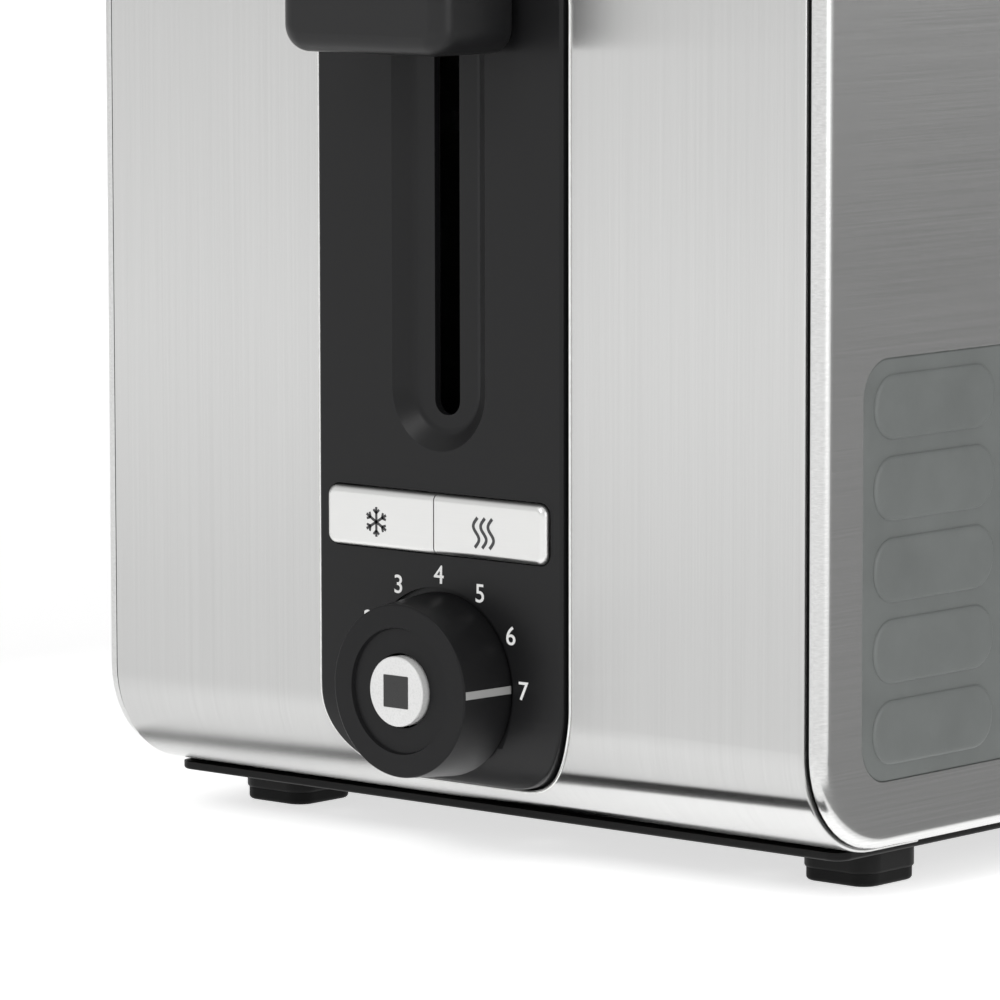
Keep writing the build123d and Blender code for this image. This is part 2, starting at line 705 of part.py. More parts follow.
def push_button(side):
    """The left (-1) or right (1) push button: cap, flange behind the panel, stem to its switch."""
    half = BUTTON_WIDTH + BUTTON_GAP / 2
    face = PANEL_Y - BUTTON_PROUD
    cap = along_y(window(half, BUTTON_LOW, BUTTON_HIGH, BUTTON_CORNER_R), face, PANEL_BACK_Y + 0.2)
    cap = fillet(edges_at_y(cap, face), BUTTON_EDGE_R)
    flange = window(half, BUTTON_LOW - 1.5, BUTTON_HIGH + 1.5, BUTTON_CORNER_R)
    flange = along_y(flange, PANEL_BACK_Y + 0.2, PANEL_BACK_Y + 1.7)
    inner = side * BUTTON_GAP / 2
    own_half = block(sorted((inner, side * (half + 1))), (face - 1, BOARD_Y), (0, BUTTON_HIGH + 5))
    middle = Pos(button_x(side), (BUTTON_LOW + BUTTON_HIGH) / 2)
    stem_end = SWITCH_Y - BUTTON_TRAVEL - SWITCH_GAP
    stem = along_y(middle * Circle(2.0), PANEL_BACK_Y + 1.7, stem_end)
    return ((cap + flange) & own_half) + stem


def button_x(side):
    """The middle of the left (-1) or right (1) push button."""
    return side * (BUTTON_WIDTH + BUTTON_GAP) / 2


def knob_profile(points):
    """A body turned about the knob's axis from (radius, y) points."""
    outline = make_face(Polyline(*points, close=True))
    return Pos(0, 0, KNOB_Z) * revolve(Plane.XY * outline, Axis.Y)


def browning_knob():
    """The dial: tapered side, flat rim, a step down to a shallow dish and the bore for the cap."""
    knob = knob_profile([
        (SLEEVE_R, KNOB_Y),
        (10.0, KNOB_Y),
        (10.0, KNOB_FACE_Y + 5.0),
        (15.2, KNOB_FACE_Y + 4.0),
        (16.2, KNOB_Y),
        (KNOB_BASE_R, KNOB_Y),
        (KNOB_FACE_R, KNOB_FACE_Y),
        (DISH_R, KNOB_FACE_Y),
        (DISH_R - 0.3, KNOB_FACE_Y + DISH_DEPTH),
        (CAP_BORE_R, KNOB_FACE_Y + DISH_DEPTH),
        (CAP_BORE_R, KNOB_Y - HUB_HEIGHT),
        (SLEEVE_R, KNOB_Y - HUB_HEIGHT),
    ])
    rim = [edge for edge in edges_at_y(knob, KNOB_FACE_Y) if edge.radius > DISH_R + 1]
    knob = fillet(ShapeList(rim), KNOB_EDGE_R)
    return knob - knob_pointer()


def knob_pointer():
    """The light strip down the knob's side, let in by its own thickness."""
    proud = 0.12
    skin = knob_profile([
        (KNOB_BASE_R - 1.2, KNOB_Y),
        (KNOB_BASE_R + proud, KNOB_Y),
        (KNOB_FACE_R + proud, KNOB_FACE_Y + KNOB_EDGE_R),
        (KNOB_FACE_R - 1.2, KNOB_FACE_Y + KNOB_EDGE_R),
    ])
    half = POINTER_WIDTH / 2
    strip = block((0, KNOB_BASE_R + 1), (KNOB_FACE_Y - 1, KNOB_Y - 0.2), (-half, half))
    return skin & (Pos(0, 0, KNOB_Z) * Rot(0, -POINTER_ANGLE, 0) * strip)


def knob_sleeve():
    """The hollow shaft from the knob through the panel into the dial's switch."""
    ring = Pos(0, KNOB_Z) * (Circle(SLEEVE_R) - Circle(SLEEVE_BORE_R))
    return along_y(ring, KNOB_Y - HUB_HEIGHT, BOARD_Y - 1.0)


def stop_button():
    """The cap in the middle of the knob, with the plunger that runs through the sleeve."""
    cap = along_y(Pos(0, KNOB_Z) * Circle(CAP_R), CAP_Y, CAP_Y + CAP_HEIGHT)
    cap = fillet(edges_at_y(cap, CAP_Y), 0.35)
    end = STOP_SWITCH_Y - BUTTON_TRAVEL - SWITCH_GAP
    plunger = along_y(Pos(0, KNOB_Z) * Circle(PLUNGER_R), CAP_Y + CAP_HEIGHT, end)
    return cap + plunger - stop_button_lens()


def stop_button_lens():
    """The square lens let into the cap."""
    square = Pos(0, KNOB_Z) * RectangleRounded(LENS_SIZE, LENS_SIZE, 0.2)
    return along_y(square, CAP_Y - 0.05, CAP_Y + 0.8)


def dial_encoder():
    """The ring-shaped dial switch on the board's front, round the knob's sleeve."""
    body = Pos(0, KNOB_Z) * RectangleRounded(20, 20, 1.5)
    encoder = along_y(body, BOARD_Y - 5.5, BOARD_Y)
    encoder += along_y(Pos(0, KNOB_Z) * Circle(7), BOARD_Y - 7, BOARD_Y - 5.5)
    return encoder - along_y(Pos(0, KNOB_Z) * Circle(SLEEVE_R + 0.06), BOARD_Y - 8, BOARD_Y + 1)


def tact_switches():
    """Three small push switches on the board: one behind each button and one for the cap."""
    middle = (BUTTON_LOW + BUTTON_HIGH) / 2
    switches = []
    for side in (-1, 1):
        body = along_y(Pos(button_x(side), middle) * Rectangle(6, 6), SWITCH_Y + 1, BOARD_Y)
        switches.append(body + along_y(Pos(button_x(side), middle) * Circle(1.7), SWITCH_Y, SWITCH_Y + 1))
    body = along_y(Pos(0, KNOB_Z) * Circle(2.4), STOP_SWITCH_Y + 0.8, BOARD_Y)
    switches.append(body + along_y(Pos(0, KNOB_Z) * Circle(1.3), STOP_SWITCH_Y, STOP_SWITCH_Y + 0.8))
    return Compound(children=switches)


def control_board():
    """The circuit board behind the panel."""
    y = (BOARD_Y, BOARD_Y + BOARD_THICK)
    board = block((-BOARD_HALF, BOARD_HALF), y, (BOARD_LOW, BOARD_HIGH))
    for x, z in panel_posts():
        board -= along_y(Pos(x, z) * Circle(SCREW_R), y[0] - 1, y[1] + 1)
    return board


def board_screws():
    """Four screws through the board into the panel's posts."""
    back = BOARD_Y + BOARD_THICK
    screws = []
    for x, z in panel_posts():
        shaft = along_y(Pos(x, z) * Circle(SCREW_R), BOARD_Y - 6, back)
        head = along_y(Pos(x, z) * Circle(SCREW_HEAD_R), back, back + SCREW_HEAD)
        screws.append(shaft + head)
    return Compound(children=screws)


# ---- crumb tray and cord gland -------------------------------------------------------------------

def crumb_tray():
    """The flat steel drawer under the heaters."""
    high = TRAY_LOW + TRAY_DEPTH
    y = (TRAY_FRONT_Y, CASE_LENGTH / 2 + SEAM_GAP)
    tray = block((-TRAY_HALF, TRAY_HALF), y, (TRAY_LOW, high))
    inside_x = (-TRAY_HALF + TRAY_SHEET, TRAY_HALF - TRAY_SHEET)
    inside_y = (y[0] + TRAY_SHEET, y[1] - TRAY_SHEET)
    return tray - block(inside_x, inside_y, (TRAY_LOW + TRAY_SHEET, high + 1))


def crumb_tray_handle():
    """The plastic front of the drawer with a grip along it."""
    back = CASE_LENGTH / 2 + SEAM_GAP
    half, low, high = TRAY_PLATE
    plate = along_y(window(half, low, high, 2.5), back, back + TRAY_PLATE_THICK)
    plate = fillet(edges_at_y(plate, back + TRAY_PLATE_THICK), 0.8)
    grip_half, reach, height = TRAY_GRIP
    middle = (low + high) / 2
    grip = window(grip_half, middle - height / 2, middle + height / 2, 1.8)
    face = back + TRAY_PLATE_THICK
    grip = along_y(grip, face - 1, face + reach)
    return plate + fillet(edges_at_y(grip, face + reach), 1.2)


def cord_gland():
    """The grommet that the power cord comes through."""
    back = CASE_LENGTH / 2
    centre = Pos(GLAND_X, GLAND_Z)
    gland = along_y(centre * Circle(GLAND_FLANGE_R), back, back + 2.5)
    gland = fillet(edges_at_y(gland, back + 2.5), 1.0)
    gland += along_y(centre * Circle(GLAND_BODY_R), back - SHEET, back)
    gland += along_y(centre * Circle(GLAND_FLANGE_R - 1), back - SHEET - 4, back - SHEET)
    return gland - along_y(centre * Circle(GLAND_BORE_R), back - 8, back + 4)


# ---- all pieces ----------------------------------------------------------------------------------

sheet = bent_sheet()
save("front_cover", front_cover(sheet))
save("top_cover", top_cover(sheet))
save("rear_cover", rear_cover(sheet))

for name, shape in (
    ("side_shell", side_shell()),
    ("side_frame", side_frame()),
    ("grip_mat", grip_mat()),
    ("reflector", reflector()),
    ("bread_rack", bread_rack()),
    ("guide_rod", Pos(ROD_X, ROD_Y, 0) * guide_rod()),
):
    save(f"{name}_right", shape)
    save(f"{name}_left", left_of(shape))

spring = carriage_spring()
for side, sign in (("left", -1), ("right", 1)):
    save(f"carriage_spring_{side}", Pos(sign * ROD_X, ROD_Y, 0) * spring)

save("base_plate", base_plate())
save("base_screws", base_screws())
for place, (x, y) in foot_places().items():
    save(f"foot_{place}", Pos(x, y, 0) * foot())

save("chassis_front_plate", chassis_front_plate())
save("chassis_rear_plate", chassis_rear_plate())
for place, x in (("left", -MICA_X), ("centre", 0), ("right", MICA_X)):
    save(f"mica_board_{place}", mica_board(x))
    save(f"heater_ribbons_{place}", heater_ribbons(x))

guide = bread_guide()
for name, x in (
    ("left_outer", -SLOT_X - GUIDE_OPEN),
    ("left_inner", -SLOT_X + GUIDE_OPEN),
    ("right_inner", SLOT_X - GUIDE_OPEN),
    ("right_outer", SLOT_X + GUIDE_OPEN),
):
    save(f"bread_guide_{name}", Pos(x, 0, 0) * guide)

save("rod_bracket_bottom", rod_bracket(BRACKET_LOW_Z, -122))
save("rod_bracket_top", rod_bracket(CHASSIS_TOP - 3, -106))
save("magnet_core", magnet_core())
save("magnet_coil", magnet_coil())
save("terminal_block", terminal_block())

save("lever_knob", lever_knob())
save("lever_arm", lever_arm())
save("carriage_bracket", carriage_bracket())
save("armature_plate", armature_plate())

save("control_panel", control_panel())
save("control_board", control_board())
save("board_screws", board_screws())
save("dial_encoder", dial_encoder())
save("tact_switches", tact_switches())
save("browning_knob", browning_knob())
save("knob_pointer", knob_pointer())
save("knob_sleeve", knob_sleeve())
save("stop_button", stop_button())
save("stop_button_lens", stop_button_lens())
save("defrost_button", push_button(-1))
save("reheat_button", push_button(1))

save("crumb_tray", crumb_tray())
save("crumb_tray_handle", crumb_tray_handle())
save("cord_gland", cord_gland())
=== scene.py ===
import json
import math

import bmesh
import bpy
from mathutils import Matrix, Vector


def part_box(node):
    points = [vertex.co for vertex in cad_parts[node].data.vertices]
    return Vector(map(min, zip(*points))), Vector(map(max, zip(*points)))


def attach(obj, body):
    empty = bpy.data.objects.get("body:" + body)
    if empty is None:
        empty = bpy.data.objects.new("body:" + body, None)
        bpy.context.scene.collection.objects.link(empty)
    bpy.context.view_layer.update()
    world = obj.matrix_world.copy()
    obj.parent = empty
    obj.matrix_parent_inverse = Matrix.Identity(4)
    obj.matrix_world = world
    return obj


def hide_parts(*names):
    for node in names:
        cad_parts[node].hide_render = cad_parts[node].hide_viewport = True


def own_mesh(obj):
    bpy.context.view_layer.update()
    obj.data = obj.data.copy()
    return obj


# The visual model of the pop-up toaster, in metres. X runs across it, the control end faces -Y and
# the feet stand on z = 0.

MM = 0.001

# Camera: where it looks, how far off it stands and its lens
CAMERA_AZIMUTH = 41.02
CAMERA_ELEVATION = 6.89
CAMERA_ROLL = -0.10
CAMERA_DISTANCE = 1327 * MM
CAMERA_LENS = 238.0
CAMERA_AIM = Vector((15.1, -133.5, 75.2)) * MM

# Casing: the opening for the control panel and the corners that it follows
CORNER_RADIUS = 22.0 * MM
OPENING_HALF = 33.3 * MM
OPENING_LOW = 5.7 * MM
OPENING_HIGH = 183.6 * MM
OPENING_RADIUS = 18.6 * MM
BEAD_RADIUS = 0.33 * MM
BEAD_PROUD = 0.1 * MM
BEAD_STEP = 2.5 * MM
BEAD_CORNER_STEPS = 14

# Dial, buttons and their printing
DIGIT_HEIGHT = 3.9 * MM
DIGIT_SHARE_OF_SIZE = 0.73
DIGIT_RADIUS = 22.5 * MM
DIGIT_DROP = 0.25 * MM
DIGIT_WIDTH_SHARE = 1.05
DIGIT_WEIGHT = 0.03 * MM
DIGIT_COUNT = 7
DIGIT_SPACING = 29.3
PRINT_THICKNESS = 0.04 * MM
FLAKE_RADIUS = 3.05 * MM
FLAKE_SHIFT = -0.8 * MM
FLAKE_STROKE = 0.57 * MM
FLAKE_FORK = 0.58
FLAKE_TWIG = 0.36
TWIG_STROKE = 0.9 * FLAKE_STROKE
SYMBOL_DROP = 0.7 * MM
WAVE_HEIGHT = 6.1 * MM
WAVE_SWING = 0.75 * MM
WAVE_PITCH = 1.95 * MM
WAVE_SHIFT = -1.4 * MM
WAVE_STROKE = 0.7 * MM
WAVE_TURNS = 1.15
WAVE_START = -0.08
WAVE_STEPS = 24

# Grip mats
PAD_COLUMNS = 6
PAD_ROWS = 5
PAD_GAP = 3.4 * MM
PAD_PITCH = 16.05 * MM
PAD_HEIGHT = 12.9 * MM
PAD_RADIUS = 6.2 * MM
PAD_RISE = 0.6 * MM
MAT_RADIUS = 7.8 * MM
LIP_RADIUS = 0.3 * MM

# Rounded edges of the mats and their pads: how far in from the outline, and how high above the face
MAT_EDGE = ((0.0, -0.35), (0.12, -0.1), (0.4, 0.0))
PAD_EDGE = (
    (0.0, -0.2), (0.06, 0.1), (0.18, 0.27), (0.4, 0.42), (0.75, 0.52), (1.3, 0.57), (2.4, 0.59), (4.0, 0.6),
)

# Sky: the middle of its bright half, how bright that and the other half are, and how far round the
# edge between them reaches; and the floor's painted glow near the toaster and far off
SKY_AZIMUTH = 30.0
SKY_BRIGHT = 0.85
SKY_DIM = 0.26
SKY_EDGE = (-0.35, 0.05)
NEAR_PAINTED_GLOW = 0.46
FAR_PAINTED_GLOW = 0.68
PAINTED_GLOW_REACH = (0.5, 1.3)
# Painted light: a patch of glow painted on the floor round the toaster, which fills in its shadow
PAINTED_POOL_GLOW = 0.66
PAINTED_POOL_REACH = (0.2, 0.45)

# Cards on the table that only reflections see: corners (x, y) and grey. The thin black one is the
# dark line low on the rounded front and the grey one is the dim part of the room that the sides
# mirror. A level light under the toaster, also only for reflections, brightens the metal below the
# dark line.
CARD_HEIGHT = 0.0001
CARDS = {
    "black_card": (((-0.11, -0.1288), (-0.11, -0.1212), (0.102, -0.1372), (0.102, -0.1458)), 0.0),
    "grey_card": (((0.112, -0.16), (2.7, 1.25), (2.7, 3.5), (0.112, 3.5)), 0.42),
}
UNDER_SIZE = (0.22, 0.25)
UNDER_PLACE = Vector((0.0, -0.006, 0.00005))
UNDER_TURN = -3.8
UNDER_POWER = 0.07

# Studio lights: azimuth and elevation like a view's, distance, size and power
LIGHTS = {
    "key_light": (4, 36, 1.6, (0.5, 0.45), 4),
    "top_light": (30, 80, 1.5, (1.4, 1.4), 2.0),
    "rim_light": (84, 14, 1.7, (0.8, 1.0), 4),
}
LIGHT_AIM = Vector((0, 0, 0.1))
FLOOR_SIZE = 12.0
FLOOR_HEIGHT = -0.0002

# Springs
SPRING_WIRE_RADIUS = 0.45 * MM
SPRING_TURNS = 18
SPRING_CLOSED_TURNS = 1.5
SPRING_CLOSED_PITCH = 2.1 * SPRING_WIRE_RADIUS
SPRING_STEPS = 16
SPRING_SIDES = 6

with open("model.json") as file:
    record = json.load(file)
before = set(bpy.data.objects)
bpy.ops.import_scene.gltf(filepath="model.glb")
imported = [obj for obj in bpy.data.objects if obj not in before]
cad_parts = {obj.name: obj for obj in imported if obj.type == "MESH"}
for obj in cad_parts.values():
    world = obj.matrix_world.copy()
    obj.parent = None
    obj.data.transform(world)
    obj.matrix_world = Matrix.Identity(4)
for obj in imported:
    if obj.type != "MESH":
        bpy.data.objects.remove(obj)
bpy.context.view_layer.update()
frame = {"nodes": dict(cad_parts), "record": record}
nodes = frame["nodes"]


# ---- nodes and materials -------------------------------------------------------------------------

class Shader:
    """A material's node tree with short calls for the nodes that the materials share."""

    def __init__(self, name, color, roughness, metallic=0.0):
        self.material = bpy.data.materials.new(name)
        self.material.use_nodes = True
        self.tree = self.material.node_tree
        self.surface = self.tree.nodes["Principled BSDF"]
        self.surface.inputs["Base Color"].default_value = (*color, 1.0)
        self.surface.inputs["Roughness"].default_value = roughness
        self.surface.inputs["Metallic"].default_value = metallic
        self.color = color
        self.roughness = roughness
        self.place = self.node("ShaderNodeTexCoord").outputs["Object"]

    def node(self, kind, **settings):
        """A new node with its settings."""
        made = self.tree.nodes.new(kind)
        for key, value in settings.items():
            setattr(made, key, value)
        return made

    def link(self, start, end):
        """Joins two sockets."""
        self.tree.links.new(start, end)

    def set(self, **values):
        """Sets constants on the Principled shader, with underscores for the spaces."""
        for key, value in values.items():
            self.surface.inputs[key.replace("_", " ")].default_value = value
        return self

    def noise(self, scale, detail=3.0, roughness=0.55):
        """Noise over the object's own place, with its own scale along each axis, per metre."""
        mapping = self.node("ShaderNodeMapping")
        mapping.inputs["Scale"].default_value = scale
        self.link(self.place, mapping.inputs["Vector"])
        noise = self.node("ShaderNodeTexNoise")
        noise.inputs["Scale"].default_value = 1.0
        noise.inputs["Detail"].default_value = detail
        noise.inputs["Roughness"].default_value = roughness
        self.link(mapping.outputs["Vector"], noise.inputs["Vector"])
        return noise.outputs["Fac"]

    def spread(self, source, low, high, start=0.3, end=0.7):
        """A factor mapped from start..end to low..high."""
        ranged = self.node("ShaderNodeMapRange")
        ranged.inputs["From Min"].default_value = start
        ranged.inputs["From Max"].default_value = end
        ranged.inputs["To Min"].default_value = low
        ranged.inputs["To Max"].default_value = high
        self.link(source, ranged.inputs["Value"])
        return ranged.outputs["Result"]

    def vary_color(self, source, amount):
        """Lightens and darkens the colour by so much of itself, with a factor."""
        mix = self.node("ShaderNodeMix", data_type="RGBA")
        mix.inputs["A"].default_value = (*[c * (1 - amount) for c in self.color], 1.0)
        mix.inputs["B"].default_value = (*[min(c * (1 + amount), 1.0) for c in self.color], 1.0)
        self.link(self.spread(source, 0.0, 1.0), mix.inputs["Factor"])
        self.link(mix.outputs["Result"], self.surface.inputs["Base Color"])
        return self

    def vary_roughness(self, source, amount):
        """Moves the roughness up and down by so much, with a factor."""
        ranged = self.spread(source, self.roughness - amount, self.roughness + amount)
        self.link(ranged, self.surface.inputs["Roughness"])
        return self

    def bump(self, *layers):
        """Bumps from (factor, height in metres) layers, one on top of the other."""
        normal = None
        for source, height in layers:
            bump = self.node("ShaderNodeBump")
            bump.inputs["Distance"].default_value = height
            bump.inputs["Strength"].default_value = 1.0
            self.link(source, bump.inputs["Height"])
            if normal is not None:
                self.link(normal, bump.inputs["Normal"])
            normal = bump.outputs["Normal"]
        self.link(normal, self.surface.inputs["Normal"])
        return self


def brushed(name, color, roughness, grain, depth=0.000004, stretch=0.0, streaks=0.07, patches=0.03):
    """Brushed metal; grain is the noise scale along each axis, low along the brushing.

    stretch draws its highlights out level, across a grain that runs up; streaks is how much the
    grain shows in the colour, and patches how much the sheen varies.
    """
    shader = Shader(name, color, roughness, 1.0)
    if stretch:
        around = shader.node("ShaderNodeTangent", direction_type="RADIAL", axis="Z")
        shader.link(around.outputs["Tangent"], shader.surface.inputs["Tangent"])
        shader.set(Anisotropic=stretch)
    fine = shader.noise(grain, 4.0, 0.7)
    broad = shader.noise(tuple(min(scale, 260.0) * 0.3 for scale in grain), 2.0)
    shader.vary_color(fine, streaks).vary_roughness(broad, patches).bump((fine, depth))
    return shader.material


def moulded(name, color, roughness, grain=2600.0, depth=0.000012, variation=0.06, sheen=0.28):
    """Moulded plastic with a fine spark-eroded texture and slight wear in its sheen."""
    shader = Shader(name, color, roughness).set(Specular_IOR_Level=sheen)
    fine = shader.noise((grain,) * 3, 2.0)
    broad = shader.noise((38.0,) * 3, 3.0)
    shader.vary_color(broad, variation).vary_roughness(broad, 0.05).bump((fine, depth))
    return shader.material


def rubber(name, color, roughness, sheen=0.5):
    """Rubber: matte, slightly dusty, with a soft fine grain."""
    shader = Shader(name, color, roughness).set(Specular_IOR_Level=sheen)
    fine = shader.noise((1900.0,) * 3, 3.0)
    dust = shader.noise((60.0,) * 3, 5.0, 0.65)
    shader.vary_color(dust, 0.09).vary_roughness(dust, 0.06).bump((fine, 0.00001))
    shader.set(Sheen_Weight=0.06, Sheen_Roughness=0.5)
    return shader.material


def mica():
    """Mica sheet: layered flakes in warm browns."""
    shader = Shader("mica_sheet", (0.50, 0.40, 0.27), 0.38)
    flakes = shader.node("ShaderNodeTexVoronoi")
    flakes.inputs["Scale"].default_value = 210.0
    shader.link(shader.place, flakes.inputs["Vector"])
    shader.vary_color(flakes.outputs["Color"], 0.25).bump((flakes.outputs["Distance"], 0.00002))
    return shader.material


def laminate():
    """Green circuit board with a faint weave."""
    shader = Shader("board_green", (0.03, 0.14, 0.06), 0.35)
    weave = shader.noise((900.0, 900.0, 900.0), 1.0)
    return shader.vary_color(weave, 0.2).bump((weave, 0.000006)).material


def winding():
    """Copper windings under varnish: fine level turns."""
    shader = Shader("coil_copper", (0.42, 0.15, 0.05), 0.3, 0.7)
    turns = shader.node("ShaderNodeTexWave", bands_direction="Z")
    turns.inputs["Scale"].default_value = 620.0
    shader.link(shader.place, turns.inputs["Vector"])
    return shader.vary_color(turns.outputs["Fac"], 0.3).bump((turns.outputs["Fac"], 0.00008)).material


def glossy(name, color, roughness, coat=0.3):
    """Polished plastic with a faint ripple under a clear skin."""
    shader = Shader(name, color, roughness)
    ripple = shader.noise((150.0,) * 3, 2.0)
    fine = shader.noise((2400.0,) * 3, 2.0)
    shader.vary_color(ripple, 0.03).vary_roughness(fine, 0.03).bump((fine, 0.000003))
    return shader.set(Coat_Weight=coat, Coat_Roughness=0.12).material


MATERIALS = {
    # Painted light and shade: the end, side and top are one steel; beside their grain directions, their
    # colours were set apart to tune how bright each face renders.
    "steel_end": brushed(
        "steel_end", (0.525, 0.525, 0.52), 0.23, (3400.0, 12.0, 12.0), 0.000002, 0.95, 0.035, patches=0.003
    ),
    # Painted highlight: the rolled and pressed edges are the casing's steel, painted lighter than it so that
    # they read as bright lines.
    "steel_bead_painted_highlight": brushed("steel_bead_painted_highlight", (0.72, 0.72, 0.71), 0.25, (300.0, 300.0, 300.0)),
    "steel_side": brushed(
        "steel_side", (0.60, 0.60, 0.595), 0.24, (900.0, 16.0, 2600.0), 0.000004, streaks=0.09, patches=0.006
    ),
    "steel_top": brushed("steel_top", (0.61, 0.61, 0.605), 0.32, (5200.0, 14.0, 900.0), streaks=0.03),
    "frame_plastic": moulded("frame_plastic", (0.012, 0.012, 0.012), 0.5),
    "base_plastic": moulded("base_plastic", (0.005, 0.005, 0.005), 0.5, sheen=0.15),
    "panel_plastic": moulded("panel_plastic", (0.008, 0.008, 0.0085), 0.36, sheen=0.22),
    "mat_rubber": rubber("mat_rubber", (0.130, 0.140, 0.136), 0.42),
    "foot_rubber": rubber("foot_rubber", (0.004, 0.004, 0.004), 0.7, 0.12),
    "gland_rubber": rubber("gland_rubber", (0.018, 0.018, 0.018), 0.6),
    "screw_steel": brushed("screw_steel", (0.55, 0.55, 0.54), 0.3, (800.0, 800.0, 800.0)),
    "chassis_steel": brushed("chassis_steel", (0.50, 0.50, 0.49), 0.42, (60.0, 900.0, 1800.0)),
    "reflector": brushed("reflector", (0.75, 0.75, 0.74), 0.22, (900.0, 30.0, 900.0)),
    "mica": mica(),
    "ribbon": brushed("ribbon", (0.30, 0.27, 0.24), 0.4, (900.0, 60.0, 4000.0)),
    "rod_steel": brushed("rod_steel", (0.70, 0.70, 0.70), 0.18, (2500.0, 2500.0, 40.0)),
    "core_iron": brushed("core_iron", (0.16, 0.16, 0.17), 0.45, (900.0, 3000.0, 60.0)),
    "coil_copper": winding(),
    "terminal_plastic": moulded("terminal_plastic", (0.55, 0.53, 0.48), 0.45),
    "board_laminate": laminate(),
    "switch_plastic": moulded("switch_plastic", (0.02, 0.02, 0.02), 0.4),
    "spring_steel": brushed("spring_steel", (0.55, 0.55, 0.55), 0.28, (700.0, 700.0, 700.0)),
    "lever_plastic": moulded("lever_plastic", (0.010, 0.010, 0.0105), 0.34),
    "carriage_steel": brushed("carriage_steel", (0.52, 0.52, 0.51), 0.38, (900.0, 60.0, 1800.0)),
    "guide_wire": brushed("guide_wire", (0.62, 0.62, 0.61), 0.22, (1800.0, 1800.0, 60.0)),
    "knob_plastic": moulded("knob_plastic", (0.0085, 0.0085, 0.009), 0.42, sheen=0.17),
    "pointer_plastic": glossy("pointer_plastic", (0.30, 0.30, 0.295), 0.35),
    "sleeve_plastic": moulded("sleeve_plastic", (0.02, 0.02, 0.02), 0.45),
    "cap_plastic": glossy("cap_plastic", (0.64, 0.64, 0.635), 0.28, 0.15),
    "lens": glossy("lens", (0.012, 0.012, 0.012), 0.3, 0.0),
    "button_metal": brushed(
        "button_metal", (0.71, 0.71, 0.70), 0.30, (40.0, 1500.0, 4200.0), 0.000001, streaks=0.01
    ),
    "tray_steel": brushed("tray_steel", (0.58, 0.58, 0.57), 0.34, (60.0, 900.0, 1800.0)),
    "tray_plastic": moulded("tray_plastic", (0.018, 0.018, 0.018), 0.45),
}
PRINT_WHITE = glossy("print_white", (0.78, 0.78, 0.77), 0.45, 0.0)
PRINT_GREY = glossy("print_grey", (0.035, 0.035, 0.037), 0.45, 0.0)


def dress_nodes():
    """Gives every CAD node its slot's material."""
    for part in frame["record"]["subparts"]:
        node = nodes[part["node"]]
        node.data.materials.clear()
        node.data.materials.append(MATERIALS[part["material_slot"]])


# ---- pieces that Blender adds --------------------------------------------------------------------

def add_mesh(name, bm, material, body):
    """A finished mesh as a piece that rides on a body."""
    bmesh.ops.recalc_face_normals(bm, faces=bm.faces)
    mesh = bpy.data.meshes.new(name)
    bm.to_mesh(mesh)
    bm.free()
    mesh.materials.append(material)
    piece = bpy.data.objects.new(name, mesh)
    bpy.context.scene.collection.objects.link(piece)
    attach(piece, body)
    return piece


def middle(node):
    """The middle of a CAD node's box."""
    low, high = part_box(node)
    return (low + high) / 2


def rounded_outline(width, height, radius, corner_steps=8):
    """Points round a rounded rectangle that is centred on the origin."""
    points = []
    for quarter in range(4):
        corner_x = (width / 2 - radius) * (1 if quarter in (0, 3) else -1)
        corner_y = (height / 2 - radius) * (1 if quarter in (0, 1) else -1)
        for step in range(corner_steps + 1):
            angle = math.pi / 2 * (quarter + step / corner_steps)
            points.append((corner_x + radius * math.cos(angle), corner_y + radius * math.sin(angle)))
    return points


def skin_rings(bm, rings, closed=True, caps=True):
    """Faces between rings of points that have the same count; caps close the first and the last."""
    loops = [[bm.verts.new(point) for point in ring] for ring in rings]
    count = len(loops[0])
    for lower, upper in zip(loops, loops[1:]):
        for i in range(count if closed else count - 1):
            j = (i + 1) % count
            bm.faces.new((lower[i], lower[j], upper[j], upper[i])).smooth = True
    if caps:
        bm.faces.new(loops[0])
        bm.faces.new(loops[-1])


def tube(bm, path, radius, sides=8, closed=False):
    """A round tube along points; closed joins its end to its start."""
    count = len(path)
    rings = []
    for i, point in enumerate(path):
        if closed:
            ahead = path[(i + 1) % count] - path[i - 1]
        else:
            ahead = path[min(i + 1, count - 1)] - path[max(i - 1, 0)]
        across = ahead.cross(Vector((0, 1, 0)) if abs(ahead.normalized().y) < 0.9 else Vector((1, 0, 0)))
        across.normalize()
        upward = across.cross(ahead).normalized()
        turn = [2 * math.pi * k / sides for k in range(sides)]
        rings.append([point + radius * (math.cos(t) * across + math.sin(t) * upward) for t in turn])
    if closed:
        rings.append(rings[0])
    skin_rings(bm, rings, caps=not closed)
    if closed:
        bmesh.ops.remove_doubles(bm, verts=bm.verts, dist=radius * 0.01)


def ribbon(bm, points, width, face_y):
    """A flat printed stroke of one width through (x, z) points, just in front of a face."""
    rings = []
    for i, (x, z) in enumerate(points):
        before = Vector(points[max(i - 1, 0)])
        after = Vector(points[min(i + 1, len(points) - 1)])
        ahead = (after - before).normalized()
        side = Vector((-ahead.y, ahead.x)) * width / 2
        front, back = face_y - PRINT_THICKNESS, face_y + PRINT_THICKNESS
        rings.append([
            (x + side.x, back, z + side.y),
            (x + side.x, front, z + side.y),
            (x - side.x, front, z - side.y),
            (x - side.x, back, z - side.y),
        ])
    skin_rings(bm, rings)
    for face in bm.faces:
        face.smooth = False


